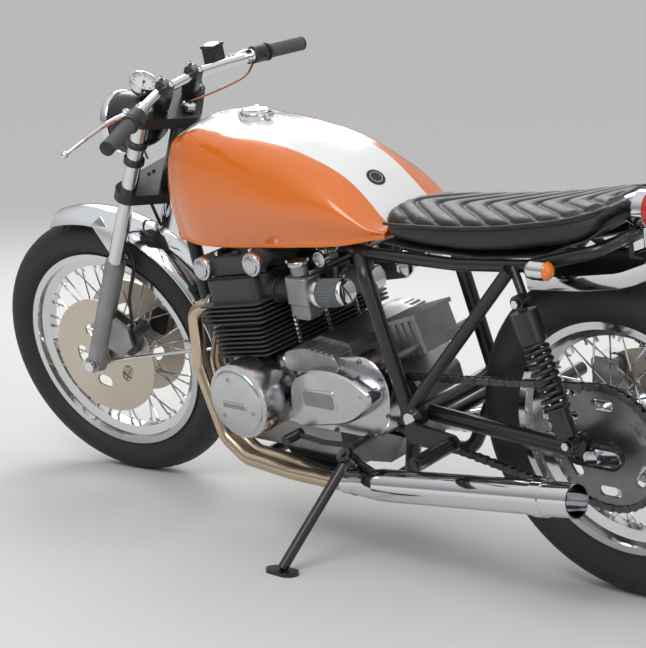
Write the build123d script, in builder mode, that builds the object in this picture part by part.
# A brat style motorcycle with an open four-cylinder engine, wire wheels and a side stand.
# +X points forward, +Y to the rider's left, +Z up. It is modelled upright, with the origin on
# the ground below the rear axle, and is leaned over onto its side stand at the end.
from build123d import *
import math
import os

os.makedirs("parts", exist_ok=True)

# Chassis geometry, in millimetres and degrees
wheelbase = 1490
rake = 27
trail = 107
lean = 11.6
steered = 9.65
fit = 0.3
air = 5

# Wheels: outer radius, half width, crown radius, bead seat radius and half gap between flanges
front_tyre_radius = 333
front_tyre_half = 50
front_crown = 54
front_bead = 241.5
front_bead_half = 30
rear_tyre_radius = 341
rear_tyre_half = 60
rear_crown = 64
rear_bead = 229
rear_bead_half = 38
spoke_count = 40
spoke_radius = 2.1
spoke_turn = 68
spoke_stagger = 2.4
spoke_inset = 0.12
disc_radius = 148
disc_thickness = 5
front_disc_y = 61.5
rear_disc_y = -77

# Front end
fork_half = 95
slider_radius = 24
stanchion_radius = 18.5
slider_length = 298
lower_yoke_height = 492
top_yoke_height = 694
yoke_thickness = 26
stem_radius = 13
head_radius = 30
bar_radius = 11.1
grip_radius = 16
grip_length = 118
grip_inner_y = 252
headlight_radius = 88
headlight_reach = 190
headlight_height = 600

# Engine, whose crankshaft lies across the bike
crank_x = 836
crank_z = 376
cylinder_tilt = 9
cylinder_pitch = 95
case_half = 150
block_foot = 84
block_half = 198
block_depth = 158
fin_pitch = 12
fin_thickness = 4
block_fins = 10
head_fins = 5
head_depth = 204
cam_height = 276
cam_spread = 79
cam_radius = 27
cam_half = 186

# Chain drive
chain_y = 84
chain_pitch = 19.05
rear_teeth = 41
front_teeth = 18
output_x = 556
output_z = 357
chain_plate_half = 8
chain_plate = 3
sprocket_thickness = 6.6
roller_radius = 5.9

# Frame and swingarm
spine_radius = 19
tunnel_half = 28
rail_radius = 14
cradle_radius = 16
cradle_low = 176
rail_y = 110
cradle_y = 105
post_y = 142
post_radius = 17.5
pivot_x = 432
pivot_z = 358
arm_y = 119
arm_half = 17
arm_height = 40
shock_y = 165
shock_radius = 27
axle_radius = 8.5

# Exhaust and stand
header_radius = 20
silencer_radius = 34
pivot_stand = (575, 205, 268)
stand_foot_y = 420
stand_foot_x = 615
stand_radius = 11

front_axle = Vector(wheelbase, 0, front_tyre_radius)
rear_axle_point = Vector(0, 0, rear_tyre_radius)
fork_offset = front_tyre_radius * math.sin(math.radians(rake)) - trail * math.cos(math.radians(rake))
tilt = math.radians(rake)
ahead = Vector(math.cos(tilt), 0, math.sin(tilt))
stem_up = Vector(-math.sin(tilt), 0, math.cos(tilt))
stem_foot = front_axle - ahead * fork_offset
# The fork's own frame: x ahead of the steering axis, y left, z up the axis from the axle's level
fork = Plane(stem_foot, x_dir=ahead, z_dir=stem_up)

cylinder_lean = math.radians(cylinder_tilt)
cylinder_up = Vector(math.sin(cylinder_lean), 0, math.cos(cylinder_lean))
crank = Vector(crank_x, 0, crank_z)
cylinders = Plane(crank, x_dir=(math.cos(cylinder_lean), 0, -math.sin(cylinder_lean)), z_dir=cylinder_up)
cylinder_places = [-1.5 * cylinder_pitch, -0.5 * cylinder_pitch, 0.5 * cylinder_pitch, 1.5 * cylinder_pitch]


def on_fork(x, y, z):
    """The bike's place of a point given in the fork's frame."""
    return fork.from_local_coords(Vector(x, y, z))


def side_plane(y):
    """A sketch plane across the bike at y, with the bike's x and z as its own axes, facing right."""
    return Plane((0, y, 0), x_dir=(1, 0, 0), z_dir=(0, -1, 0))


def wheel_plane(centre, y):
    """A sketch plane in a wheel's own plane, y to the left of its middle, facing right."""
    return Plane((centre.X, y, centre.Z), x_dir=(1, 0, 0), z_dir=(0, -1, 0))


def section_plane(centre):
    """A sketch plane through a wheel's axle: its x runs to the left and its y up from the axle."""
    return Plane(centre, x_dir=(0, 1, 0), z_dir=(1, 0, 0))


def rod(start, end, radius, mode=Mode.ADD):
    """Add a straight round bar from start to end."""
    run = Vector(*end) - Vector(*start)
    with BuildSketch(Plane(start, z_dir=run)) as end_face:
        Circle(radius)
    extrude(end_face.sketch, amount=run.length, mode=mode)


def pipe(points, radius, bend):
    """Add a round tube along straight runs joined by arcs of one radius."""
    with BuildLine() as route:
        FilletPolyline(*points, radius=bend)
    with BuildSketch(Plane(route.line @ 0, z_dir=route.line % 0)) as end_face:
        Circle(radius)
    sweep(end_face.sketch, path=route.line)


def spindle(centre, half, radius, mode=Mode.ADD):
    """Add a round bar across the bike, half its length to each side of centre."""
    with BuildSketch(Plane(centre, x_dir=(1, 0, 0), z_dir=(0, -1, 0))) as end_face:
        Circle(radius)
    extrude(end_face.sketch, amount=half, both=True, mode=mode)


def dome(flat_x, y, z, radius, height):
    """Add a round lens or nose: a spherical cap from a flat face at flat_x, its height along x."""
    ball = (radius**2 + height**2) / (2 * abs(height))
    middle_x = flat_x + height - math.copysign(ball * (1 - math.cos(math.radians(24))), height)
    with BuildSketch(side_plane(y)) as section:
        with BuildLine():
            Line((flat_x, z), (flat_x, z + radius))
            ThreePointArc(
                (flat_x, z + radius),
                (middle_x, z + ball * math.sin(math.radians(24))),
                (flat_x + height, z),
            )
            Line((flat_x + height, z), (flat_x, z))
        make_face()
    revolve(section.sketch, axis=Axis((0, y, z), (1, 0, 0)))


def tyre_ring(centre, radius, half, crown, bead, bead_half):
    """Revolve a tyre: a crown arc, two bulging side walls and two beads round a hollow."""
    shoulder = 0.72 * half
    shoulder_r = radius - (crown - math.sqrt(crown**2 - shoulder**2))
    belt = 12
    wall = 9
    bead_width = 13
    lip = bead + 15
    middle = (shoulder_r + lip) / 2
    with BuildSketch(section_plane(centre)) as profile:
        with BuildLine():
            ThreePointArc((-shoulder, shoulder_r), (0, radius), (shoulder, shoulder_r))
            ThreePointArc((shoulder, shoulder_r), (half, middle), (bead_half, lip))
            Line((bead_half, lip), (bead_half, bead))
            Line((bead_half, bead), (bead_half - bead_width, bead))
            Line((bead_half - bead_width, bead), (bead_half - wall, lip))
            ThreePointArc(
                (bead_half - wall, lip),
                (half - wall, middle),
                (shoulder - belt, shoulder_r - belt / 2),
            )
            ThreePointArc(
                (shoulder - belt, shoulder_r - belt / 2),
                (0, radius - belt),
                (belt - shoulder, shoulder_r - belt / 2),
            )
            ThreePointArc(
                (belt - shoulder, shoulder_r - belt / 2),
                (wall - half, middle),
                (wall - bead_half, lip),
            )
            Line((wall - bead_half, lip), (bead_width - bead_half, bead))
            Line((bead_width - bead_half, bead), (-bead_half, bead))
            Line((-bead_half, bead), (-bead_half, lip))
            ThreePointArc((-bead_half, lip), (-half, middle), (-shoulder, shoulder_r))
        make_face()
    revolve(profile.sketch, axis=Axis(centre, (0, 1, 0)))


def rim_ring(centre, bead, bead_half):
    """Revolve a wheel rim: a deep well between two bead seats, each with its flange."""
    seat = bead - fit
    flange = bead_half + fit
    with BuildSketch(section_plane(centre)) as profile:
        with BuildLine():
            Polyline(
                (0, seat - 20),
                (9, seat - 20),
                (15, seat),
                (flange, seat),
                (flange, bead + 12),
                (flange + 4, bead + 12),
                (flange + 4, seat - 3),
                (19, seat - 5),
                (12, seat - 25),
                (0, seat - 25),
            )
            mirror(about=Plane.YZ)
        make_face()
    revolve(profile.sketch, axis=Axis(centre, (0, 1, 0)))


def spokes(centre, flanges, rim_radius):
    """Add the spokes. Each flange is its y and its hole radius; pairs of spokes lean apart."""
    starts = []
    reach = 0
    for index in range(spoke_count):
        flange_y, hole_radius = flanges[index % 2]
        swing = 1 if index // 2 % 2 else -1
        rim_angle = math.radians(360 / spoke_count * index)
        hub_angle = rim_angle + swing * math.radians(spoke_turn)
        hub_y = flange_y + spoke_stagger * swing
        start = centre + Vector(hole_radius * math.cos(hub_angle), hub_y, hole_radius * math.sin(hub_angle))
        rim_y = flange_y * spoke_inset
        end = centre + Vector(rim_radius * math.cos(rim_angle), rim_y, rim_radius * math.sin(rim_angle))
        starts.append(Plane(start, z_dir=end - start))
        reach = max(reach, (end - start).length)
    with BuildSketch(*starts) as faces:
        RegularPolygon(spoke_radius, 6)
    extrude(faces.sketch, amount=reach)


pieces = {}
bodies = {}


def keep(builder, name, body):
    """Note a finished piece with the body that it moves with."""
    builder.part.label = name
    pieces[name] = builder.part
    bodies[name] = body


# Tyres
with BuildPart() as front_tyre:
    tyre_ring(front_axle, front_tyre_radius, front_tyre_half, front_crown, front_bead, front_bead_half)
keep(front_tyre, "front_tyre", "front_wheel")

with BuildPart() as rear_tyre:
    tyre_ring(rear_axle_point, rear_tyre_radius, rear_tyre_half, rear_crown, rear_bead, rear_bead_half)
keep(rear_tyre, "rear_tyre", "rear_wheel")

# Wire wheels: rim, spokes and hub in one
with BuildPart() as front_wheel:
    rim_ring(front_axle, front_bead, front_bead_half)
    with BuildSketch(section_plane(front_axle)) as front_hub:
        with BuildLine():
            Polyline(
                (0, axle_radius + fit),
                (front_disc_y - disc_thickness / 2 - fit, axle_radius + fit),
                (front_disc_y - disc_thickness / 2 - fit, 34),
                (38, 34),
                (34, 44),
                (26, 44),
                (22, 27),
                (0, 25),
            )
            mirror(about=Plane.YZ)
        make_face()
    revolve(front_hub.sketch, axis=Axis(front_axle, (0, 1, 0)))
    spokes(front_axle, [(30, 39), (-30, 39)], front_bead - 23)
keep(front_wheel, "front_wire_wheel", "front_wheel")

with BuildPart() as rear_wheel:
    rim_ring(rear_axle_point, rear_bead, rear_bead_half)
    with BuildSketch(section_plane(rear_axle_point)) as rear_hub:
        with BuildLine():
            Polyline(
                (rear_disc_y + disc_thickness / 2 + fit, axle_radius + fit),
                (chain_y - sprocket_thickness / 2 - fit, axle_radius + fit),
                (chain_y - sprocket_thickness / 2 - fit, 64),
                (56, 72),
                (40, 76),
                (30, 76),
                (22, 52),
                (-22, 44),
                (-30, 76),
                (-38, 76),
                (-46, 46),
                (rear_disc_y + disc_thickness / 2 + fit, 46),
                (rear_disc_y + disc_thickness / 2 + fit, axle_radius + fit),
            )
        make_face()
    revolve(rear_hub.sketch, axis=Axis(rear_axle_point, (0, 1, 0)))
    spokes(rear_axle_point, [(34, 70), (-34, 70)], rear_bead - 23)
keep(rear_wheel, "rear_wire_wheel", "rear_wheel")

# Brake discs: a ring on a carrier with round windows
disc_ring = 40
with BuildPart() as front_discs:
    for disc_y in (front_disc_y, -front_disc_y):
        with BuildSketch(wheel_plane(front_axle, disc_y)) as disc_face:
            Circle(disc_radius)
            Circle(axle_radius + fit, mode=Mode.SUBTRACT)
            with PolarLocations(72, 5):
                SlotOverall(46, 30, rotation=90, mode=Mode.SUBTRACT)
        extrude(disc_face.sketch, amount=disc_thickness / 2, both=True)
keep(front_discs, "front_discs", "front_wheel")

with BuildPart() as rear_disc:
    with BuildSketch(wheel_plane(rear_axle_point, rear_disc_y)) as disc_face:
        Circle(disc_radius)
        Circle(axle_radius + fit, mode=Mode.SUBTRACT)
        with PolarLocations(78, 6):
            Circle(17, mode=Mode.SUBTRACT)
    extrude(disc_face.sketch, amount=disc_thickness / 2, both=True)
keep(rear_disc, "rear_disc", "rear_wheel")

# Rear sprocket: root circle and tapered teeth, with oval windows
rear_pitch_radius = chain_pitch / 2 / math.sin(math.pi / rear_teeth)
front_pitch_radius = chain_pitch / 2 / math.sin(math.pi / front_teeth)
with BuildPart() as rear_sprocket:
    with BuildSketch(wheel_plane(rear_axle_point, chain_y)) as sprocket_face:
        Circle(rear_pitch_radius - roller_radius)
        with PolarLocations(rear_pitch_radius - 1, rear_teeth):
            Trapezoid(12, chain_pitch * 0.52, 70, rotation=-90)
        Circle(axle_radius + fit, mode=Mode.SUBTRACT)
        with PolarLocations(90, 6, start_angle=30):
            SlotOverall(52, 22, rotation=90, mode=Mode.SUBTRACT)
    extrude(sprocket_face.sketch, amount=sprocket_thickness / 2, both=True)
keep(rear_sprocket, "rear_sprocket", "rear_wheel")

# Drive chain: two bands of plates with rollers between them on the two straight runs
span = math.hypot(output_x, output_z - rear_tyre_radius)
rise = math.atan2(output_z - rear_tyre_radius, output_x)
taper = math.asin((rear_pitch_radius - front_pitch_radius) / span)
plate_offset = sprocket_thickness / 2 + 0.8 + chain_plate / 2
roller_runs = [(1, rise - taper), (-1, rise + taper)]
with BuildPart() as chain:
    for band_y in (chain_y + plate_offset, chain_y - plate_offset):
        with BuildSketch(side_plane(band_y)) as band:
            with Locations((0, rear_tyre_radius)):
                Circle(rear_pitch_radius + chain_plate_half)
            with Locations((output_x, output_z)):
                Circle(front_pitch_radius + chain_plate_half)
            make_hull()
            with BuildSketch(side_plane(band_y), mode=Mode.PRIVATE) as hollow:
                with Locations((0, rear_tyre_radius)):
                    Circle(rear_pitch_radius - chain_plate_half)
                with Locations((output_x, output_z)):
                    Circle(front_pitch_radius - chain_plate_half)
                make_hull()
            add(hollow.sketch_local, mode=Mode.SUBTRACT)
        extrude(band.sketch, amount=chain_plate / 2, both=True)
    for side, heading in roller_runs:
        along = Vector(math.cos(heading), 0, math.sin(heading))
        outward = Vector(-math.sin(heading), 0, math.cos(heading)) * side
        tangent = Vector(0, chain_y, rear_tyre_radius) + outward * rear_pitch_radius
        run_length = math.sqrt(span**2 - (rear_pitch_radius - front_pitch_radius) ** 2)
        first_roller = 60
        count = int((run_length - first_roller) // chain_pitch) + 1
        places = [tangent + along * (first_roller + chain_pitch * index) for index in range(count)]
        with BuildSketch(*[Plane(place, x_dir=(1, 0, 0), z_dir=(0, -1, 0)) for place in places]) as rollers:
            Circle(roller_radius)
        extrude(rollers.sketch, amount=plate_offset - chain_plate / 2, both=True)
keep(chain, "chain", "frame")

# Fork: stanchions, sliders with their axle lugs and caliper arms, and the axle
caliper_x = fork_offset - 70
caliper_z = 100
tube_top = top_yoke_height + yoke_thickness / 2 + 14
with BuildPart() as fork_tubes:
    for fork_y in (fork_half, -fork_half):
        rod(
            on_fork(fork_offset, fork_y, slider_length),
            on_fork(fork_offset, fork_y, tube_top),
            stanchion_radius,
        )
keep(fork_tubes, "fork_tubes", "steering")

with BuildPart() as fork_legs:
    for fork_y in (fork_half, -fork_half):
        inward = -1 if fork_y > 0 else 1
        rod(
            on_fork(fork_offset, fork_y, -12),
            on_fork(fork_offset, fork_y, slider_length),
            slider_radius,
        )
        lug = on_fork(fork_offset, fork_y + 2 * inward, 0)
        spindle(lug, 25, 21)
        with BuildSketch(Plane(on_fork(0, fork_y, 0), x_dir=ahead, z_dir=(0, -1, 0))) as arm:
            with BuildLine():
                Polyline(
                    (fork_offset, 60),
                    (caliper_x, caliper_z - 42),
                    (caliper_x - 22, caliper_z),
                    (caliper_x, caliper_z + 40),
                    (fork_offset, 150),
                    close=True,
                )
            make_face()
        extrude(arm.sketch, amount=5, both=True)
        spindle(on_fork(fork_offset, fork_y, 0), 40, axle_radius + fit, mode=Mode.SUBTRACT)
keep(fork_legs, "fork_legs", "steering")

with BuildPart() as front_axle_rod:
    spindle(front_axle, fork_half + 26, axle_radius)
    for nut_y in (fork_half + 30, -fork_half - 30):
        spindle(front_axle + Vector(0, nut_y, 0), 5, 13)
keep(front_axle_rod, "front_axle", "steering")

# Yokes: two plates round the tubes, joined by the stem
with BuildPart() as yokes:
    for height, ring in ((lower_yoke_height, 31), (top_yoke_height, 28)):
        with BuildSketch(fork.offset(height - yoke_thickness / 2)) as plate:
            with Locations((0, 0)):
                Circle(ring + 4)
            with Locations((fork_offset, fork_half), (fork_offset, -fork_half)):
                Circle(ring)
            make_hull()
            with Locations((fork_offset, fork_half), (fork_offset, -fork_half)):
                Circle(stanchion_radius + fit / 2, mode=Mode.SUBTRACT)
        extrude(plate.sketch, amount=yoke_thickness)
    rod(on_fork(0, 0, lower_yoke_height), on_fork(0, 0, top_yoke_height + 22), stem_radius)
keep(yokes, "fork_yokes", "steering")

# Handlebar, swept through its bends, and the two clamps that hold it
bar_x = 38
bar_z = 760
bar_half = [(bar_x, 52, bar_z), (18, 106, 784), (-6, 196, 780), (-48, grip_inner_y + grip_length, 776)]
bar_points = [on_fork(x, y, z) for x, y, z in reversed(bar_half)]
bar_points += [on_fork(x, -y, z) for x, y, z in bar_half]
with BuildPart() as handlebar:
    pipe(bar_points, bar_radius, 38)
keep(handlebar, "handlebar", "steering")

clamp_y = 28
with BuildPart() as clamps:
    for y in (clamp_y, -clamp_y):
        with BuildSketch(Plane(on_fork(0, y, 0), x_dir=ahead, z_dir=(0, -1, 0))) as clamp_face:
            with Locations((bar_x, bar_z)):
                Circle(22)
            with Locations((bar_x, (bar_z + top_yoke_height) / 2 + yoke_thickness / 4)):
                Rectangle(30, bar_z - top_yoke_height - yoke_thickness / 2 - fit)
            with Locations((bar_x, bar_z)):
                Circle(bar_radius + fit / 2, mode=Mode.SUBTRACT)
        extrude(clamp_face.sketch, amount=11, both=True)
keep(clamps, "bar_clamps", "steering")

grip_end = Vector(-48, grip_inner_y + grip_length, 776)
grip_start = Vector(-6, 196, 780)
grip_line = (grip_end - grip_start).normalized()
with BuildPart() as grips:
    for side in (1, -1):
        inner = grip_end - grip_line * grip_length
        outer = grip_end + grip_line * 6
        start = on_fork(inner.X, inner.Y * side, inner.Z)
        end = on_fork(outer.X, outer.Y * side, outer.Z)
        rod(start, end, grip_radius)
        collar = inner + grip_line * 6
        rod(start, on_fork(collar.X, collar.Y * side, collar.Z), grip_radius + 5)
        tip = on_fork(grip_end.X, grip_end.Y * side, grip_end.Z)
        rod(start - (end - start) * 0.1, tip, bar_radius + fit / 2, mode=Mode.SUBTRACT)
keep(grips, "grips", "steering")

# Switch housings, lever perches, levers and the master cylinder with its reservoir
switch_inner = 200
lever_pivot = Vector(34, 196, 752)
lever_bend = Vector(44, 262, 732)
lever_tip = Vector(42, 372, 708)
with BuildPart() as bar_controls:
    for side in (1, -1):
        inner = grip_end - grip_line * (grip_length + 44)
        outer = grip_end - grip_line * (grip_length + 3)
        start = on_fork(inner.X, inner.Y * side, inner.Z)
        end = on_fork(outer.X, outer.Y * side, outer.Z)
        rod(start, end, 21)
        perch = inner + grip_line * 14
        rod(on_fork(perch.X, perch.Y * side, perch.Z), on_fork(lever_pivot.X, lever_pivot.Y * side, lever_pivot.Z), 9)
        pipe(
            [
                on_fork(lever_pivot.X - 4, lever_pivot.Y * side, lever_pivot.Z + 2),
                on_fork(lever_bend.X, lever_bend.Y * side, lever_bend.Z),
                on_fork(lever_tip.X, lever_tip.Y * side, lever_tip.Z),
            ],
            6,
            30,
        )
        rod(start - (end - start), end + (end - start) * 0.1, bar_radius + fit / 2, mode=Mode.SUBTRACT)
    master = inner + Vector(34, -14, 8)
    with BuildSketch(Plane(on_fork(master.X, -master.Y, master.Z), x_dir=(0, 1, 0), z_dir=(0, 0, 1))) as box_face:
        RectangleRounded(50, 44, 8)
    extrude(box_face.sketch, amount=34)
    rod(on_fork(master.X, -master.Y - 30, master.Z), on_fork(master.X, -master.Y + 36, master.Z), 12)
    add(handlebar.part, mode=Mode.SUBTRACT)
keep(bar_controls, "bar_controls", "steering")

# Headlight: a bucket with its rim, hung between two ears on the fork tubes
nose = Plane(
    on_fork(headlight_reach, 0, headlight_height),
    x_dir=(0, 1, 0),
    z_dir=(math.cos(math.radians(4)), 0, math.sin(math.radians(-4))),
)
lens_depth = 5
bucket_depth = 104
with BuildPart() as headlight:
    bucket_rings = [(0, headlight_radius - 3), (-60, headlight_radius - 14), (-bucket_depth, 40)]
    with BuildSketch(nose.offset(bucket_rings[0][0])) as ring_front:
        Circle(bucket_rings[0][1])
    with BuildSketch(nose.offset(bucket_rings[1][0])) as ring_middle:
        Circle(bucket_rings[1][1])
    with BuildSketch(nose.offset(bucket_rings[2][0])) as ring_back:
        Circle(bucket_rings[2][1])
    loft([ring_front.sketch, ring_middle.sketch, ring_back.sketch])
    with BuildSketch(nose) as rim_face:
        Circle(headlight_radius)
    extrude(rim_face.sketch, amount=16)
    with BuildSketch(nose.offset(16)) as mouth:
        Circle(headlight_radius - 7)
    extrude(mouth.sketch, amount=-12, mode=Mode.SUBTRACT)
keep(headlight, "headlight", "steering")

with BuildPart() as headlight_lens:
    with BuildSketch(nose.offset(4 + fit)) as lens_face:
        Circle(headlight_radius - 7 - fit)
    extrude(lens_face.sketch, amount=lens_depth)
keep(headlight_lens, "headlight_lens", "steering")

ear_low = 560
ear_high = 640
ear_gap = headlight_radius + 4
with BuildPart() as headlight_ears:
    for side in (1, -1):
        for height in (ear_low, ear_high):
            with BuildSketch(fork.offset(height)) as ring:
                with Locations((fork_offset, side * fork_half)):
                    Circle(stanchion_radius + 5)
                    Circle(stanchion_radius + fit / 2, mode=Mode.SUBTRACT)
            extrude(ring.sketch, amount=9, both=True)
        with BuildSketch(Plane(on_fork(0, side * ear_gap, 0), x_dir=ahead, z_dir=(0, -1, 0))) as ear:
            with BuildLine():
                Polyline(
                    (fork_offset + stanchion_radius + 2, ear_low - 6),
                    (fork_offset + stanchion_radius + 2, ear_high + 6),
                    (headlight_reach - 50, headlight_height + 14),
                    (headlight_reach - 24, headlight_height),
                    (headlight_reach - 50, headlight_height - 18),
                    close=True,
                )
            make_face()
        extrude(ear.sketch, amount=2.5, both=True)
        bolt_x = headlight_reach - 46
        rod(
            on_fork(bolt_x, side * (ear_gap + 8), headlight_height),
            on_fork(bolt_x, side * (headlight_radius - 10), headlight_height),
            7,
        )
    add(headlight.part, mode=Mode.SUBTRACT)
keep(headlight_ears, "headlight_ears", "steering")

# Gauge: one round instrument ahead of the top yoke, on a small bracket
gauge_radius = 40
dial = Plane(on_fork(112, 0, 758), x_dir=(0, 1, 0), z_dir=(-0.62, 0, 0.78))
with BuildPart() as gauge:
    with BuildSketch(dial) as gauge_top:
        Circle(gauge_radius)
    extrude(gauge_top.sketch, amount=-22)
    with BuildSketch(dial.offset(-22)) as gauge_neck:
        Circle(gauge_radius - 5)
    extrude(gauge_neck.sketch, amount=-26, taper=14)
    with BuildSketch(dial) as gauge_mouth:
        Circle(gauge_radius - 4)
    extrude(gauge_mouth.sketch, amount=-4, mode=Mode.SUBTRACT)
    with BuildSketch(fork.offset(top_yoke_height + yoke_thickness / 2)) as bracket:
        with Locations((60, 0)):
            Rectangle(76, 30)
    extrude(bracket.sketch, amount=4)
keep(gauge, "gauge", "steering")

# Front fender: a crowned strip turned round the wheel, with its bridge and stays
fender_radius = 358
fender_half = 58
fender_crown = 18
fender_sheet = 2.5
fender_front_angle = 76
fender_rear_angle = 176
with BuildPart() as front_fender:
    fender_start = math.radians(fender_front_angle)
    start_plane = Plane(
        front_axle,
        x_dir=(0, 1, 0),
        z_dir=(math.sin(fender_start), 0, -math.cos(fender_start)),
    )
    with BuildSketch(start_plane) as fender_profile:
        with BuildLine():
            ThreePointArc(
                (-fender_half, fender_radius - fender_crown),
                (0, fender_radius + fender_crown / 2),
                (fender_half, fender_radius - fender_crown),
            )
            Line(
                (fender_half, fender_radius - fender_crown),
                (fender_half - fender_sheet, fender_radius - fender_crown),
            )
            ThreePointArc(
                (fender_half - fender_sheet, fender_radius - fender_crown),
                (0, fender_radius + fender_crown / 2 - fender_sheet),
                (fender_sheet - fender_half, fender_radius - fender_crown),
            )
            Line(
                (fender_sheet - fender_half, fender_radius - fender_crown),
                (-fender_half, fender_radius - fender_crown),
            )
        make_face()
    revolve(
        fender_profile.sketch,
        axis=Axis(front_axle, (0, -1, 0)),
        revolution_arc=fender_rear_angle - fender_front_angle,
    )
    for side in (1, -1):
        hang = math.radians(fender_rear_angle - 3)
        hang_r = fender_radius - fender_crown
        tail = front_axle + Vector(hang_r * math.cos(hang), side * (fender_half - 1), hang_r * math.sin(hang))
        lug = on_fork(fork_offset - slider_radius - 2, side * (fork_half - 6), 14)
        rod(lug, tail, 4)
        brace = on_fork(fork_offset - 4, side * (fork_half - slider_radius - 4), slider_length - 12)
        top_r = fender_radius - 4
        over = math.radians(100)
        crest = front_axle + Vector(top_r * math.cos(over), side * (fender_half - 8), top_r * math.sin(over))
        with BuildSketch(Plane(brace, x_dir=ahead, z_dir=crest - brace)) as strap:
            Rectangle(34, 4)
        extrude(strap.sketch, amount=(crest - brace).length)
    add(fork_legs.part, mode=Mode.SUBTRACT)
keep(front_fender, "front_fender", "steering")

# Front calipers, each straddling its disc behind the fork leg
caliper_slot = 6
with BuildPart() as front_calipers:
    for side in (1, -1):
        middle = on_fork(caliper_x, side * front_disc_y, caliper_z)
        with BuildSketch(Plane(middle, x_dir=ahead, z_dir=(0, -1, 0))) as body_face:
            RectangleRounded(52, 74, 16)
        extrude(body_face.sketch, amount=27, both=True)
        with BuildSketch(wheel_plane(front_axle, side * front_disc_y)) as slot_face:
            Circle(disc_radius + air)
        extrude(slot_face.sketch, amount=disc_thickness / 2 + 3, both=True, mode=Mode.SUBTRACT)
    add(fork_legs.part, mode=Mode.SUBTRACT)
keep(front_calipers, "front_calipers", "steering")

# Brake hose: down from the master cylinder past the lower yoke to the left caliper
hose_radius = 4
with BuildPart() as brake_hoses:
    for side in (1, -1):
        pipe(
            [
                on_fork(62, side * 8, lower_yoke_height + yoke_thickness / 2 + 2),
                on_fork(92, side * 20, 470),
                on_fork(88, side * 62, 380),
                on_fork(22, side * 66, 300),
                on_fork(12, side * 78, 210),
                on_fork(caliper_x + 4, side * 76, caliper_z + 36),
            ],
            hose_radius,
            26,
        )
    add(front_fender.part, mode=Mode.SUBTRACT)
    add(fork_legs.part, mode=Mode.SUBTRACT)
    add(front_calipers.part, mode=Mode.SUBTRACT)
    add(yokes.part, mode=Mode.SUBTRACT)
keep(brake_hoses, "brake_hoses", "steering")

# Frame, first the head tube with its backbone and gusset
head_low = lower_yoke_height + yoke_thickness / 2 + 3
head_high = top_yoke_height - yoke_thickness / 2 - 3
seat_rail = [(522, rail_y, 691), (300, rail_y, 690), (120, rail_y, 704), (-30, rail_y - 4, 744)]
spine_head = on_fork(0, 0, head_high - 64)
spine_tail = Vector(600, 0, 706)
with BuildPart() as frame_spine:
    rod(on_fork(0, 0, head_low), on_fork(0, 0, head_high), head_radius)
    rod(spine_head, spine_tail, spine_radius)
    rod(on_fork(0, 0, head_low + 30), (760, 0, 716), spine_radius - 3)
    with BuildSketch(side_plane(0)) as gusset:
        with BuildLine():
            Polyline((1190, 812), (1168, 836), (1010, 794), (1010, 770), close=True)
        make_face()
    extrude(gusset.sketch, amount=4, both=True)
    for side in (1, -1):
        pipe([(612, 0, 704), (585, side * rail_y * 0.92, 694), (520, side * rail_y, 691)], rail_radius, 30)
    for mount_x in (1060, 680):
        along = (mount_x - spine_tail.X) / (spine_head.X - spine_tail.X)
        spindle(spine_tail + (spine_head - spine_tail) * along, tunnel_half - fit, 13)
    rod(on_fork(0, 0, head_low - 5), on_fork(0, 0, head_high + 5), stem_radius + fit, mode=Mode.SUBTRACT)
keep(frame_spine, "frame_spine", "frame")

# Cradle: two down tubes that run under the engine and rise behind it, and the cross tubes
with BuildPart() as frame_cradle:
    for side in (1, -1):
        pipe(
            [
                on_fork(0, side * 22, head_low + 80),
                (1092, side * 62, 560),
                (1000, side * cradle_y, cradle_low),
                (500, side * cradle_y, cradle_low),
                (436, side * post_y, 330),
                (516, side * post_y, 655),
                (552, side * (rail_y - 2), 690),
            ],
            cradle_radius,
            46,
        )
        with BuildSketch(side_plane(side * post_y)) as pivot_plate:
            with Locations((pivot_x, pivot_z)):
                Circle(30)
        extrude(pivot_plate.sketch, amount=9, both=True)
    rod((560, cradle_y, cradle_low), (560, -cradle_y, cradle_low), cradle_radius - 2)
    rod((930, cradle_y, cradle_low), (930, -cradle_y, cradle_low), cradle_radius - 2)
    spindle((pivot_x, 0, pivot_z), post_y + 30, 8, mode=Mode.SUBTRACT)
    rod(on_fork(0, 0, head_low - 5), on_fork(0, 0, head_high + 5), head_radius, mode=Mode.SUBTRACT)
    add(frame_spine.part, mode=Mode.SUBTRACT)
keep(frame_cradle, "frame_cradle", "frame")

# Rear frame: seat rails with their hoop, and the stays that run up from the swingarm pivot
hoop_x = -68
hoop_z = 758
with BuildPart() as frame_rear:
    hoop = seat_rail + [(hoop_x, 60, hoop_z)]
    loop = hoop + [(x, -y, z) for x, y, z in reversed(hoop)]
    pipe(loop, rail_radius - 1, 30)
    for side in (1, -1):
        rod((pivot_x + 6, side * post_y, pivot_z + 20), (150, side * 132, 700), rail_radius - 1)
        rod((150, side * 120, 700), (107, side * 150, 652), 9)
        spindle((107, side * 153, 652), 14, 8)
        rod((hoop_x, side * 42, hoop_z), (hoop_x, side * 42, hoop_z - 44), 5)
    add(frame_spine.part, mode=Mode.SUBTRACT)
    add(frame_cradle.part, mode=Mode.SUBTRACT)
keep(frame_rear, "frame_rear", "frame")

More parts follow.
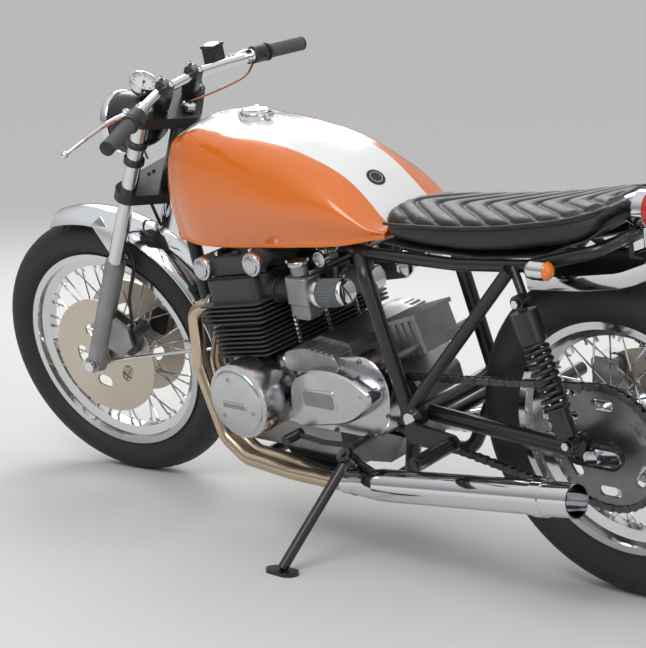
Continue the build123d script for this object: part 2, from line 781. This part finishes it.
# Swingarm: two arms from the pivot tube to the axle, with a cross tube and axle plates
with BuildPart() as swingarm:
    spindle((pivot_x, 0, pivot_z), post_y - post_radius + 2, 21)
    for side in (1, -1):
        rod((pivot_x - 4, side * (arm_y - 15), pivot_z), (40, side * arm_y, 344), arm_half)
        with BuildSketch(side_plane(side * arm_y)) as axle_plate:
            with Locations((5, rear_tyre_radius)):
                SlotOverall(130, 52)
                SlotOverall(46, 2 * axle_radius + fit, mode=Mode.SUBTRACT)
        extrude(axle_plate.sketch, amount=6, both=True)
        with BuildSketch(side_plane(side * (arm_y + 8))) as shock_lug:
            with Locations((25, 372)):
                Circle(16)
            with Locations((45, 350)):
                Rectangle(50, 24)
            make_hull()
        extrude(shock_lug.sketch, amount=8, both=True)
        spindle((25, side * (shock_y - 16), 378), 16, 8)
    rod((378, arm_y - 12, 356), (378, 12 - arm_y, 356), 14)
    spindle((pivot_x, 0, pivot_z), post_y, 8, mode=Mode.SUBTRACT)
    add(frame_cradle.part, mode=Mode.SUBTRACT)
keep(swingarm, "swingarm", "frame")

with BuildPart() as rear_axle:
    spindle(rear_axle_point, arm_y + 22, axle_radius)
    for side in (1, -1):
        spindle(rear_axle_point + Vector(0, side * (arm_y + 14), 0), 8, 16)
        with BuildSketch(side_plane(side * (arm_y + 6 + fit + 2))) as adjuster:
            with Locations((-22, rear_tyre_radius)):
                SlotOverall(74, 34)
                SlotOverall(34, 14, mode=Mode.SUBTRACT)
        extrude(adjuster.sketch, amount=2, both=True)
        spindle((pivot_x, side * (post_y + 12), pivot_z), 5, 15)
    spindle((pivot_x, 0, pivot_z), post_y + 16, 7.5)
    add(swingarm.part, mode=Mode.SUBTRACT)
    add(frame_cradle.part, mode=Mode.SUBTRACT)
    add(frame_rear.part, mode=Mode.SUBTRACT)
keep(rear_axle, "rear_axle", "frame")

# Shock absorbers: an upper shroud, a spring in turned rings and a lower body between two eyes
shock_top = Vector(107, shock_y, 652)
shock_bottom = Vector(25, shock_y, 378)
shock_length = (shock_top - shock_bottom).length
shroud_length = 62
coil_count = 9
coil_radius = 24
coil_wire = 4.5
with BuildPart() as shock_absorbers:
    for side in (1, -1):
        low = Vector(shock_bottom.X, side * shock_y, shock_bottom.Z)
        high = Vector(shock_top.X, side * shock_y, shock_top.Z)
        line = (high - low).normalized()
        rod(low, high, 9)
        rod(low + line * 16, low + line * 74, 21)
        rod(high - line * (18 + shroud_length), high - line * 18, shock_radius)
        spindle(low, 11, 15)
        spindle(high, 11, 15)
        spindle(low, 12, 8.3, mode=Mode.SUBTRACT)
        spindle(high, 12, 8.3, mode=Mode.SUBTRACT)
    add(swingarm.part, mode=Mode.SUBTRACT)
    add(frame_rear.part, mode=Mode.SUBTRACT)
keep(shock_absorbers, "shock_absorbers", "frame")

spring_low = 74
spring_high = shock_length - 18 - shroud_length
with BuildPart() as shock_springs:
    for side in (1, -1):
        low = Vector(shock_bottom.X, side * shock_y, shock_bottom.Z)
        high = Vector(shock_top.X, side * shock_y, shock_top.Z)
        line = (high - low).normalized()
        spring_plane = Plane(low, x_dir=(0, 1, 0), z_dir=line.cross(Vector(0, 1, 0)) * -1)
        pitch = (spring_high - spring_low) / coil_count
        with BuildSketch(spring_plane) as coil_section:
            with BuildLine():
                turns = []
                for turn in range(coil_count):
                    base = spring_low + pitch * turn
                    turns += [(coil_radius - 5, base), (coil_radius + 1, base + pitch / 2)]
                turns.append((coil_radius - 5, spring_high))
                Polyline((9 + fit, spring_high), (9 + fit, spring_low), *turns, close=True)
            make_face()
        revolve(coil_section.sketch, axis=Axis(low, line))
keep(shock_springs, "shock_springs", "frame")

# Engine: crankcase, with the output sprocket and a pocket for the chain
case_profile = [
    (948, 206),
    (985, 262),
    (985, 360),
    (952, 446),
    (742, 466),
    (590, 470),
    (560, 430),
    (492, 392),
    (480, 330),
    (560, 214),
    (700, 196),
]
with BuildPart() as crankcase:
    with BuildSketch(side_plane(0)) as case_face:
        with BuildLine():
            Polyline(*case_profile, close=True)
        make_face()
        fillet(case_face.vertices(), 18)
    extrude(case_face.sketch, amount=88, both=True)
    with BuildSketch(side_plane(0)) as flank_face:
        with BuildLine():
            Polyline(
                (930, 236), (958, 290), (958, 352), (930, 440), (742, 456), (640, 440), (640, 240), close=True
            )
        make_face()
        fillet(flank_face.vertices(), 24)
    extrude(flank_face.sketch, amount=case_half, both=True)
    with BuildSketch(side_plane(0)) as sump_face:
        with BuildLine():
            Polyline((900, 215), (860, 168), (690, 168), (640, 215), close=True)
        make_face()
    extrude(sump_face.sketch, amount=cradle_y - cradle_radius - 6, both=True)
    with BuildSketch(side_plane(0)) as starter_face:
        with BuildLine():
            Polyline((742, 440), (742, 470), (690, 496), (610, 488), (590, 440), close=True)
        make_face()
    extrude(starter_face.sketch, amount=120, both=True)
    with BuildSketch(side_plane(88)) as chain_room:
        with Locations((output_x, output_z)):
            Circle(front_pitch_radius + 22)
        with Locations((output_x - 200, output_z - 30), (output_x - 200, output_z + 60)):
            Circle(front_pitch_radius)
        make_hull()
    extrude(chain_room.sketch, amount=30, mode=Mode.SUBTRACT)
    with BuildSketch(side_plane(chain_y)) as drive_face:
        with Locations((output_x, output_z)):
            Circle(front_pitch_radius - roller_radius - 1)
    extrude(drive_face.sketch, amount=sprocket_thickness / 2, both=True)
    rod((output_x, 40, output_z), (output_x, chain_y + 8, output_z), 20)
    add(frame_cradle.part, mode=Mode.SUBTRACT)
keep(crankcase, "crankcase", "frame")

# Cylinder block: a core with cooling fins all round
with BuildPart() as cylinder_block:
    with BuildSketch(cylinders.offset(40)) as neck_face:
        RectangleRounded(block_depth - 34, 2 * case_half - 20, 20)
    extrude(neck_face.sketch, amount=block_foot - 40)
    with BuildSketch(cylinders.offset(block_foot)) as core_face:
        RectangleRounded(block_depth - 34, 2 * block_half - 40, 20)
    extrude(core_face.sketch, amount=block_fins * fin_pitch)
    fin_levels = [block_foot + fin_pitch * index for index in range(block_fins)]
    with BuildSketch(*[cylinders.offset(level) for level in fin_levels]) as fins:
        RectangleRounded(block_depth, 2 * block_half, 14)
    extrude(fins.sketch, amount=fin_thickness)
    add(crankcase.part, mode=Mode.SUBTRACT)
keep(cylinder_block, "cylinder_block", "frame")

# Cylinder head: deeper fins, with intake and exhaust ports
head_foot = block_foot + block_fins * fin_pitch
port_height = head_foot + 34
cam_foot = cam_height - cam_radius
with BuildPart() as cylinder_head:
    with BuildSketch(cylinders.offset(head_foot)) as head_core:
        RectangleRounded(head_depth - 44, 2 * block_half - 34, 20)
    extrude(head_core.sketch, amount=cam_foot - head_foot)
    head_levels = [head_foot + fin_pitch * index for index in range(head_fins)]
    with BuildSketch(*[cylinders.offset(level) for level in head_levels]) as head_fin_faces:
        RectangleRounded(head_depth, 2 * block_half + 6, 14)
    extrude(head_fin_faces.sketch, amount=fin_thickness)
    for y in cylinder_places:
        front = cylinders.from_local_coords(Vector(head_depth / 2 + 12, y, port_height))
        back = cylinders.from_local_coords(Vector(-head_depth / 2 - 14, y, port_height + 16))
        middle = cylinders.from_local_coords(Vector(0, y, port_height))
        rod(middle, front, header_radius + 6)
        rod(middle, back, 22)
keep(cylinder_head, "cylinder_head", "frame")

# Cam cover: two tunnels over the camshafts with a web between them
with BuildPart() as cam_cover:
    with BuildSketch(Plane(crank, x_dir=cylinders.x_dir, z_dir=(0, -1, 0))) as cam_section:
        with Locations((cam_spread, cam_height), (-cam_spread, cam_height)):
            Circle(cam_radius)
        with Locations((0, cam_foot)):
            Rectangle(2 * cam_spread + 2 * cam_radius - 8, cam_radius + 2, align=(Align.CENTER, Align.MIN))
        with Locations((0, cam_height + 4)):
            Rectangle(2 * cam_spread - 50, 26)
    extrude(cam_section.sketch, amount=cam_half - 16, both=True)
    add(cylinder_head.part, mode=Mode.SUBTRACT)
keep(cam_cover, "cam_cover", "frame")

with BuildPart() as cam_caps:
    for y in (cam_half - 16, 16 - cam_half):
        outward = 1 if y > 0 else -1
        for x in (cam_spread, -cam_spread):
            start = cylinders.from_local_coords(Vector(x, y, cam_height))
            rod(start, start + Vector(0, 14 * outward, 0), cam_radius - 2)
            rod(start, start + Vector(0, 19 * outward, 0), cam_radius - 10)
    add(cylinder_head.part, mode=Mode.SUBTRACT)
keep(cam_caps, "cam_end_caps", "frame")

# Engine covers: generator and sprocket covers on the left, clutch and pulser covers on the right
generator_radius = 79
sprocket_cover_left = 150
with BuildPart() as engine_covers:
    cover_table = [
        # x, z, radius, inner y, outer y, dome taper
        (crank_x - 12, crank_z, generator_radius, case_half, 236, 8),
        (crank_x - 12, crank_z, generator_radius - 14, 236, 244, 20),
        (crank_x - 12, crank_z, 64, -case_half, -206, 8),
        (690, 352, 98, -case_half, -196, 14),
        (crank_x - 96, crank_z - 20, 44, case_half - 1, 186, 6),
    ]
    for x, z, radius, inner_y, outer_y, taper_angle in cover_table:
        with BuildSketch(Plane((x, inner_y, z), x_dir=(1, 0, 0), z_dir=(0, outer_y - inner_y, 0))) as cover:
            Circle(radius)
        extrude(cover.sketch, amount=abs(outer_y - inner_y), taper=taper_angle)
    egg_plane = Plane((0, 106, 0), x_dir=(-1, 0, 0), z_dir=(0, 1, 0))
    with BuildSketch(egg_plane) as egg_face:
        with Locations((-640, 396)):
            Circle(88)
        with Locations((-560, 372)):
            Circle(84)
        make_hull()
    extrude(egg_face.sketch, amount=92, taper=12)
    with BuildSketch(egg_plane) as egg_room:
        with Locations((-output_x, output_z)):
            Circle(front_pitch_radius + 16)
        with Locations((200 - output_x, output_z - 20)):
            Circle(front_pitch_radius + 10)
        make_hull()
    extrude(egg_room.sketch, amount=14, mode=Mode.SUBTRACT)
    add(crankcase.part, mode=Mode.SUBTRACT)
    add(frame_cradle.part, mode=Mode.SUBTRACT)
keep(engine_covers, "engine_covers", "frame")

# Carburettors on their rubber stubs, and a pod filter behind each
filter_length = 62
carb_x = 693
carb_z = 630
with BuildPart() as carburettors:
    for y in cylinder_places:
        back = cylinders.from_local_coords(Vector(-head_depth / 2 - 14, y, port_height + 16))
        rod(back, (carb_x, y, carb_z), 21)
        with BuildSketch(Plane((carb_x, y, 572), x_dir=(1, 0, 0), z_dir=(0, 0, 1))) as bowl:
            RectangleRounded(60, 50, 10)
        extrude(bowl.sketch, amount=34)
        with BuildSketch(Plane((carb_x - 4, y, 606), x_dir=(1, 0, 0), z_dir=(0, 0, 1))) as body:
            RectangleRounded(66, 58, 12)
        extrude(body.sketch, amount=40)
        rod((carb_x, y, 646), (carb_x, y, 672), 21)
        rod((carb_x, y, carb_z), (carb_x - 48, y, carb_z - 6), 25)
    rod(
        (carb_x - 12, cylinder_places[0], 660),
        (carb_x - 12, cylinder_places[-1], 660),
        5,
    )
    add(cylinder_head.part, mode=Mode.SUBTRACT)
keep(carburettors, "carburettors", "frame")

with BuildPart() as air_filters:
    for y in cylinder_places:
        mouth = Vector(carb_x - 48 - fit, y, carb_z - 6)
        heading = Vector(-1, 0, -0.1).normalized()
        rod(mouth, mouth + heading * 14, 30)
        rod(mouth + heading * 14, mouth + heading * (14 + filter_length), 34)
        rod(mouth + heading * (14 + filter_length), mouth + heading * (20 + filter_length), 31)
    add(carburettors.part, mode=Mode.SUBTRACT)
keep(air_filters, "air_filters", "frame")

# Exhaust: the outer and inner pipe of each side join under the engine
collector = (648, 178, 190)
silencer_start = (588, 184, 198)
silencer_end = (-46, 222, 296)
outer_route = [(1044, 166, 400), (1012, 192, 246), (930, 198, 196), collector, silencer_start]
inner_route = [(1016, 96, 480), (1014, 142, 330), (984, 150, 232), (900, 152, 200), (770, 153, 197), (664, 174, 191)]
with BuildPart() as exhaust_headers:
    for side in (1, -1):
        for port, route in ((3, outer_route), (2, inner_route)):
            mouth = cylinders.from_local_coords(
                Vector(head_depth / 2 + 12 + fit, side * cylinder_places[port], port_height)
            )
            away = cylinders.x_dir
            points = [mouth, mouth + away * 60] + [Vector(x, side * y, z) for x, y, z in route]
            pipe(points, header_radius, 34)
            rod(mouth, mouth + away * 9, header_radius + 12)
keep(exhaust_headers, "exhaust_headers", "frame")

silencer_profile = [
    # distance back from the front, radius
    (0, header_radius + 4),
    (24, header_radius + 4),
    (110, silencer_radius),
    (540, silencer_radius),
    (540, silencer_radius + 3),
    (566, silencer_radius + 3),
    (566, silencer_radius),
    (638, silencer_radius),
    (638, silencer_radius - 3),
    (560, silencer_radius - 3),
    (560, 0),
]
with BuildPart() as silencers:
    for side in (1, -1):
        start = Vector(silencer_start[0] + 22, side * silencer_start[1], silencer_start[2])
        end = Vector(silencer_end[0], side * silencer_end[1], silencer_end[2])
        line = (end - start).normalized()
        lift = line.cross(Vector(0, 1, 0)).normalized()
        with BuildSketch(Plane(start, x_dir=line, z_dir=line.cross(lift))) as silencer_face:
            with BuildLine():
                Polyline((0, 0), *silencer_profile, close=True)
            make_face()
        revolve(silencer_face.sketch, axis=Axis(start, line))
    add(exhaust_headers.part, mode=Mode.SUBTRACT)
keep(silencers, "silencers", "frame")

# Foot controls: pegs on their brackets, the gear pedal with its rod, and the brake pedal
peg_x = 318
peg_z = 330
with BuildPart() as foot_controls:
    for side in (1, -1):
        with BuildSketch(side_plane(side * (post_y + 24))) as peg_bracket:
            with Locations((pivot_x - 16, pivot_z - 22)):
                Circle(22)
            with Locations((peg_x, peg_z)):
                Circle(18)
            make_hull()
        extrude(peg_bracket.sketch, amount=5, both=True)
        rod((pivot_x - 16, side * (post_y + 12), pivot_z - 22), (pivot_x - 16, side * (post_y + 24), pivot_z - 22), 12)
        rod((peg_x, side * (post_y + 24), peg_z), (peg_x, side * 286, peg_z), 8)
        rod((peg_x, side * 182, peg_z), (peg_x, side * 282, peg_z), 15)
    rod((560, 150, 296), (560, 206, 296), 8)
    pipe([(560, 198, 296), (640, 204, 292), (712, 208, 300)], 6, 30)
    rod((712, 196, 300), (712, 246, 300), 11)
    pipe([(pivot_x - 16, -post_y - 30, pivot_z - 22), (540, -196, 288), (640, -206, 276), (700, -226, 262)], 7, 30)
    with BuildSketch(Plane((706, -226, 262), x_dir=(1, 0, 0), z_dir=(0, 0, 1))) as pad:
        RectangleRounded(44, 50, 8)
    extrude(pad.sketch, amount=12)
    add(rear_axle.part, mode=Mode.SUBTRACT)
    add(frame_cradle.part, mode=Mode.SUBTRACT)
    add(frame_rear.part, mode=Mode.SUBTRACT)
    add(engine_covers.part, mode=Mode.SUBTRACT)
    add(crankcase.part, mode=Mode.SUBTRACT)
keep(foot_controls, "foot_controls", "frame")

# Battery box with its lid, between the frame posts
box_length = 116
box_width = 120
box_height = 74
box_plane = Plane((505, 0, 450), x_dir=(math.cos(math.radians(18)), 0, -math.sin(math.radians(18))), z_dir=(0.309, 0, 0.951))
with BuildPart() as battery_box:
    with BuildSketch(box_plane) as box_base:
        RectangleRounded(box_length, box_width, 10)
    extrude(box_base.sketch, amount=box_height)
    with BuildSketch(box_plane) as ribs:
        with GridLocations(box_length / 6, 0, 5, 1):
            Rectangle(5, box_width + 8)
    extrude(ribs.sketch, amount=box_height)
    with BuildSketch(box_plane.offset(box_height)) as lid_face:
        RectangleRounded(box_length + 10, box_width + 12, 12)
    extrude(lid_face.sketch, amount=9)
    rod((474, post_y, 478), (474, -post_y, 478), 7)
    add(frame_cradle.part, mode=Mode.SUBTRACT)
    add(frame_rear.part, mode=Mode.SUBTRACT)
    add(crankcase.part, mode=Mode.SUBTRACT)
keep(battery_box, "battery_box", "frame")

# Rear caliper, straddling the disc above the right arm
with BuildPart() as rear_caliper:
    caliper_centre = Vector(86, rear_disc_y, 440)
    with BuildSketch(side_plane(rear_disc_y)) as rear_body:
        with Locations((caliper_centre.X, caliper_centre.Z)):
            RectangleRounded(66, 56, 14)
    extrude(rear_body.sketch, amount=26, both=True)
    with BuildSketch(wheel_plane(rear_axle_point, rear_disc_y)) as rear_slot:
        Circle(disc_radius + air)
    extrude(rear_slot.sketch, amount=disc_thickness / 2 + 3, both=True, mode=Mode.SUBTRACT)
    with BuildSketch(side_plane(-arm_y + arm_half + 6)) as torque_arm:
        with Locations((caliper_centre.X, 440)):
            Circle(14)
        with Locations((20, rear_tyre_radius)):
            Circle(20)
        make_hull()
    extrude(torque_arm.sketch, amount=2.5, both=True)
    add(swingarm.part, mode=Mode.SUBTRACT)
    add(rear_axle.part, mode=Mode.SUBTRACT)
keep(rear_caliper, "rear_caliper", "frame")

# Fuel tank: lofted through sections of a flat base, two bulging sides and a crown
tank_sections = [
    # x, base z, base half width, widest half width, its z, shoulder half width, its z, crown z
    (1092, 770, 84, 92, 812, 70, 862, 884),
    (1050, 690, 122, 136, 780, 100, 890, 926),
    (900, 690, 142, 158, 780, 112, 892, 932),
    (720, 706, 140, 152, 780, 98, 872, 904),
    (590, 722, 116, 126, 774, 80, 818, 838),
    (492, 732, 84, 88, 746, 60, 758, 766),
]
with BuildPart() as fuel_tank:
    outlines = []
    for x, base_z, base_y, wide_y, wide_z, shoulder_y, shoulder_z, crown_z in tank_sections:
        with BuildSketch(Plane((x, 0, 0), x_dir=(0, 1, 0), z_dir=(1, 0, 0))) as outline:
            with BuildLine():
                Line((-base_y, base_z), (base_y, base_z))
                ThreePointArc((base_y, base_z), (wide_y, wide_z), (shoulder_y, shoulder_z))
                ThreePointArc((shoulder_y, shoulder_z), (0, crown_z), (-shoulder_y, shoulder_z))
                ThreePointArc((-shoulder_y, shoulder_z), (-wide_y, wide_z), (-base_y, base_z))
            make_face()
        outlines.append(outline.sketch)
    loft(outlines)
    roof = spine_radius + 10
    with BuildSketch(side_plane(0)) as tunnel:
        with BuildLine():
            Polyline(
                (spine_head.X, spine_head.Z + roof),
                (spine_tail.X, spine_tail.Z + roof),
                (spine_tail.X - 60, spine_tail.Z + roof),
                (spine_tail.X - 60, 640),
                (spine_head.X, 640),
                close=True,
            )
        make_face()
    extrude(tunnel.sketch, amount=tunnel_half, both=True, mode=Mode.SUBTRACT)
keep(fuel_tank, "fuel_tank", "frame")

cap_x = 907
with BuildPart() as fuel_cap:
    with BuildSketch(Plane.XY.offset(926)) as cap_base:
        with Locations((cap_x, 0)):
            Circle(36)
    extrude(cap_base.sketch, amount=18, taper=8)
    with BuildSketch(Plane.XY.offset(932)) as hinge:
        with Locations((cap_x - 34, 0)):
            RectangleRounded(26, 24, 5)
    extrude(hinge.sketch, amount=10)
    add(fuel_tank.part, mode=Mode.SUBTRACT)
keep(fuel_cap, "fuel_cap", "frame")

# Seat: a padded saddle with a flat side band, lofted over its pan
seat_sections = [
    # x, base z, base half width, side top z, top half width, crown z
    (486, 722, 92, 748, 74, 776),
    (400, 714, 124, 760, 98, 786),
    (240, 712, 130, 770, 106, 800),
    (80, 730, 126, 790, 100, 818),
    (-40, 778, 100, 806, 78, 828),
]
with BuildPart() as seat:
    outlines = []
    for x, base_z, base_y, side_z, top_y, crown_z in seat_sections:
        with BuildSketch(Plane((x, 0, 0), x_dir=(0, 1, 0), z_dir=(1, 0, 0))) as outline:
            with BuildLine():
                Line((-base_y, base_z), (base_y, base_z))
                Line((base_y, base_z), (base_y - 3, side_z))
                ThreePointArc((base_y - 3, side_z), (0, crown_z), (3 - base_y, side_z))
                Line((3 - base_y, side_z), (-base_y, base_z))
            make_face()
        outlines.append(outline.sketch)
    loft(outlines, ruled=True)
    add(fuel_tank.part, mode=Mode.SUBTRACT)
    add(frame_rear.part, mode=Mode.SUBTRACT)
keep(seat, "seat", "frame")

# Seat pan: a thin plate that follows the rails under the seat
pan_half = 112
pan_path = [(480, 716), (400, 709), (240, 707), (100, 722), (-20, 764), (-62, 792)]
with BuildPart() as seat_pan:
    with BuildSketch(side_plane(0)) as pan_face:
        with BuildLine():
            Polyline(*pan_path, *[(x, z + 4) for x, z in reversed(pan_path)], close=True)
        make_face()
    extrude(pan_face.sketch, amount=pan_half, both=True)
    add(seat.part, mode=Mode.SUBTRACT)
    add(fuel_tank.part, mode=Mode.SUBTRACT)
    add(frame_rear.part, mode=Mode.SUBTRACT)
    add(frame_spine.part, mode=Mode.SUBTRACT)
keep(seat_pan, "seat_pan", "frame")

# Rear fender: a deep crowned strip under the tail, kicked up at its end
rear_fender_half = 88
rear_fender_drop = 50
rear_fender_sheet = 2.5
fender_kick = Vector(-60, 0, 722)
fender_tip = Vector(-150, 0, 758)
with BuildPart() as rear_fender:
    with BuildLine() as fender_route:
        FilletPolyline((150, 0, 698), (40, 0, 706), fender_kick, fender_tip, radius=120)
    with BuildSketch(
        Plane(fender_route.line @ 0, x_dir=(0, -1, 0), z_dir=fender_route.line % 0)
    ) as rear_fender_face:
        with BuildLine():
            Line((-rear_fender_half, -rear_fender_drop), (-rear_fender_half, -22))
            ThreePointArc((-rear_fender_half, -22), (0, 0), (rear_fender_half, -22))
            Line((rear_fender_half, -22), (rear_fender_half, -rear_fender_drop))
            Line(
                (rear_fender_half, -rear_fender_drop),
                (rear_fender_half - rear_fender_sheet, -rear_fender_drop),
            )
            Line(
                (rear_fender_half - rear_fender_sheet, -rear_fender_drop),
                (rear_fender_half - rear_fender_sheet, -24),
            )
            ThreePointArc(
                (rear_fender_half - rear_fender_sheet, -24),
                (0, -rear_fender_sheet),
                (rear_fender_sheet - rear_fender_half, -24),
            )
            Line(
                (rear_fender_sheet - rear_fender_half, -24),
                (rear_fender_sheet - rear_fender_half, -rear_fender_drop),
            )
            Line(
                (rear_fender_sheet - rear_fender_half, -rear_fender_drop),
                (-rear_fender_half, -rear_fender_drop),
            )
        make_face()
    sweep(rear_fender_face.sketch, path=fender_route.line)
    add(frame_rear.part, mode=Mode.SUBTRACT)
    add(seat_pan.part, mode=Mode.SUBTRACT)
    add(shock_absorbers.part, mode=Mode.SUBTRACT)
keep(rear_fender, "rear_fender", "frame")

# Tail light: a turned housing on the fender's end, with a domed lens facing back
lamp_x = -70
lamp_z = 800
lamp_radius = 37
with BuildPart() as tail_light:
    with BuildSketch(Plane((lamp_x, 0, lamp_z), x_dir=(0, 1, 0), z_dir=(-1, 0, 0))) as lamp_face:
        Circle(lamp_radius)
    extrude(lamp_face.sketch, amount=22)
    extrude(lamp_face.sketch, amount=-34, taper=22)
    rise = (fender_tip - fender_kick).normalized()
    seat_spot = fender_kick + rise * 8 + Vector(0, 0, fit)
    with BuildSketch(Plane(seat_spot, x_dir=-rise, z_dir=(rise.Z, 0, -rise.X))) as lamp_foot:
        RectangleRounded(40, 34, 6)
    extrude(lamp_foot.sketch, amount=lamp_z - seat_spot.Z - 12, dir=(0, 0, 1))
    add(rear_fender.part, mode=Mode.SUBTRACT)
    add(seat.part, mode=Mode.SUBTRACT)
    add(seat_pan.part, mode=Mode.SUBTRACT)
    add(frame_rear.part, mode=Mode.SUBTRACT)
keep(tail_light, "tail_light", "frame")

with BuildPart() as tail_lens:
    dome(lamp_x - 22 - fit, 0, lamp_z, lamp_radius - 3, -20)
keep(tail_lens, "tail_lens", "frame")

# Rear indicators: bullets on short stems, with a lens facing back
indicator_y = 146
indicator_z = 712
indicator_front = 100
indicator_nose = 82
indicator_rear = 50
indicator_radius = 19
with BuildPart() as indicators:
    for side in (1, -1):
        rod(
            (indicator_rear, side * indicator_y, indicator_z),
            (indicator_nose, side * indicator_y, indicator_z),
            indicator_radius,
        )
        dome(indicator_nose, side * indicator_y, indicator_z, indicator_radius, indicator_front - indicator_nose)
        stem = (indicator_rear + 18, side * indicator_y, indicator_z)
        rod(stem, (indicator_rear + 18, side * rail_y, indicator_z), 6)
    add(rear_fender.part, mode=Mode.SUBTRACT)
    add(frame_rear.part, mode=Mode.SUBTRACT)
    add(shock_absorbers.part, mode=Mode.SUBTRACT)
keep(indicators, "indicators", "frame")

with BuildPart() as indicator_lenses:
    for side in (1, -1):
        dome(indicator_rear - fit, side * indicator_y, indicator_z, indicator_radius - 1, -12)
keep(indicator_lenses, "indicator_lenses", "frame")

# The stance: the front wheel turned to its rest angle, the bike leaned and pitched until both
# tyres touch the ground
turned_front = stem_foot + (front_axle - stem_foot).rotate(Axis((0, 0, 0), stem_up), steered)
turned_axle = Vector(0, 1, 0).rotate(Axis((0, 0, 0), stem_up), steered)


def contact_height(centre, axle, radius, crown):
    """How high a tyre's lowest point lies, from its centre, axle direction and two radii."""
    return centre.Z - (radius - crown) * math.sqrt(1 - axle.Z**2) - crown


def leaned(vector, pitch):
    """A vector of the upright bike after the lean about X and the pitch about Y."""
    tipped = vector.rotate(Axis.X, -lean)
    return tipped.rotate(Axis.Y, pitch)


pitch = 0
for _ in range(4):
    rear_height = contact_height(
        leaned(rear_axle_point, pitch), leaned(Vector(0, 1, 0), pitch), rear_tyre_radius, rear_crown
    )
    front_height = contact_height(
        leaned(turned_front, pitch), leaned(turned_axle, pitch), front_tyre_radius, front_crown
    )
    pitch += math.degrees((front_height - rear_height) / leaned(turned_front, pitch).X)

stance = Location((0, 0, -rear_height)) * Location((0, 0, 0), (0, pitch, 0)) * Location((0, 0, 0), (-lean, 0, 0))
ground = stance.inverse() * Plane.XY

# Side stand: a fork on its pivot, the leg, and a foot that lies flat on the ground
foot_thickness = 8
foot_spot = Vector(stand_foot_x, stand_foot_y, 0)
up = ground.z_dir
foot_low = foot_spot + up * ((ground.origin - foot_spot).dot(up))
stand_down = (foot_low + up * foot_thickness - Vector(*pivot_stand)).normalized()
stand_back = Vector(-0.95, 0.25, -0.10).normalized()
stand_axis = stand_down.cross(stand_back).normalized()
stand_swing = stand_down.get_angle(stand_back)
with BuildPart() as side_stand:
    leg_end = foot_low + up * (foot_thickness + 2)
    rod(Vector(*pivot_stand) + stand_down * 10, leg_end, stand_radius)
    rod(Vector(*pivot_stand) - stand_axis * 9, Vector(*pivot_stand) + stand_axis * 9, 17)
    with BuildSketch(Plane(foot_low, x_dir=ground.x_dir, z_dir=up)) as foot_face:
        SlotOverall(78, 44)
    extrude(foot_face.sketch, amount=foot_thickness)
    rod(
        Vector(*pivot_stand) - stand_axis * 30,
        Vector(*pivot_stand) + stand_axis * 30,
        6 + fit,
        mode=Mode.SUBTRACT,
    )
keep(side_stand, "side_stand", "side_stand")

with BuildPart() as stand_bracket:
    rod(Vector(*pivot_stand) - stand_axis * 22, Vector(*pivot_stand) + stand_axis * 22, 6)
    for end in (1, -1):
        lobe = Vector(*pivot_stand) + stand_axis * (end * 15)
        with BuildSketch(Plane(lobe, x_dir=(1, 0, 0), z_dir=stand_axis)) as ear_face:
            Circle(17)
        extrude(ear_face.sketch, amount=3, both=True)
    rod((pivot_stand[0] + 6, cradle_y, 178), Vector(*pivot_stand) + stand_axis * 15, 10)
    rod(
        Vector(*pivot_stand) - stand_axis * 12,
        Vector(*pivot_stand) + stand_axis * 12,
        24,
        mode=Mode.SUBTRACT,
    )
    rod(Vector(*pivot_stand) - stand_axis * 22, Vector(*pivot_stand) + stand_axis * 22, 6)
    add(frame_cradle.part, mode=Mode.SUBTRACT)
    add(exhaust_headers.part, mode=Mode.SUBTRACT)
    add(foot_controls.part, mode=Mode.SUBTRACT)
keep(stand_bracket, "stand_bracket", "frame")

# Stand the bike up in its own frame: forward pieces turn with the steering, then all lean
steering_turn = Location(stem_foot) * Location((0, 0, 0), stem_up, steered) * Location(stem_foot * -1)
standing = {}
for name, piece in pieces.items():
    turned = bodies[name] in ("steering", "front_wheel")
    standing[name] = piece.moved(stance * steering_turn) if turned else piece.moved(stance)

extent = Compound(list(standing.values())).bounding_box()
centring = Location((-extent.center().X, -extent.center().Y, 0))
for name, piece in standing.items():
    placed = piece.moved(centring)
    placed.label = name
    export_step(placed, f"parts/{name}.step")

# The joints' places and axes in the part's frame, for whoever writes its record
to_part = centring * stance
joint_table = [
    ("steering", stem_foot, stem_up),
    ("front wheel", turned_front, turned_axle),
    ("rear wheel", rear_axle_point, Vector(0, 1, 0)),
    ("side stand", Vector(*pivot_stand), stand_axis),
]
grip_middle = grip_end - grip_line * (grip_length / 2 - 6)
turn = to_part * steering_turn
for name, place, direction in joint_table:
    spot = (to_part * Location(place)).position
    tip = (to_part * Location(place + direction)).position
    print(name, "at", tuple(spot), "along", tuple(tip - spot))
for name, side in (("grip_left", 1), ("grip_right", -1)):
    middle = on_fork(grip_middle.X, side * grip_middle.Y, grip_middle.Z)
    beyond = on_fork(grip_end.X, side * grip_end.Y, grip_end.Z)
    spot = (turn * Location(middle)).position
    tip = (turn * Location(beyond)).position
    print("mount", name, "at", tuple(spot), "along", tuple(tip - spot))
print("mount stand_foot at", tuple((to_part * Location(foot_low)).position), "along", (0, 0, -1))
print("stand swing", stand_swing, "size", extent.size)
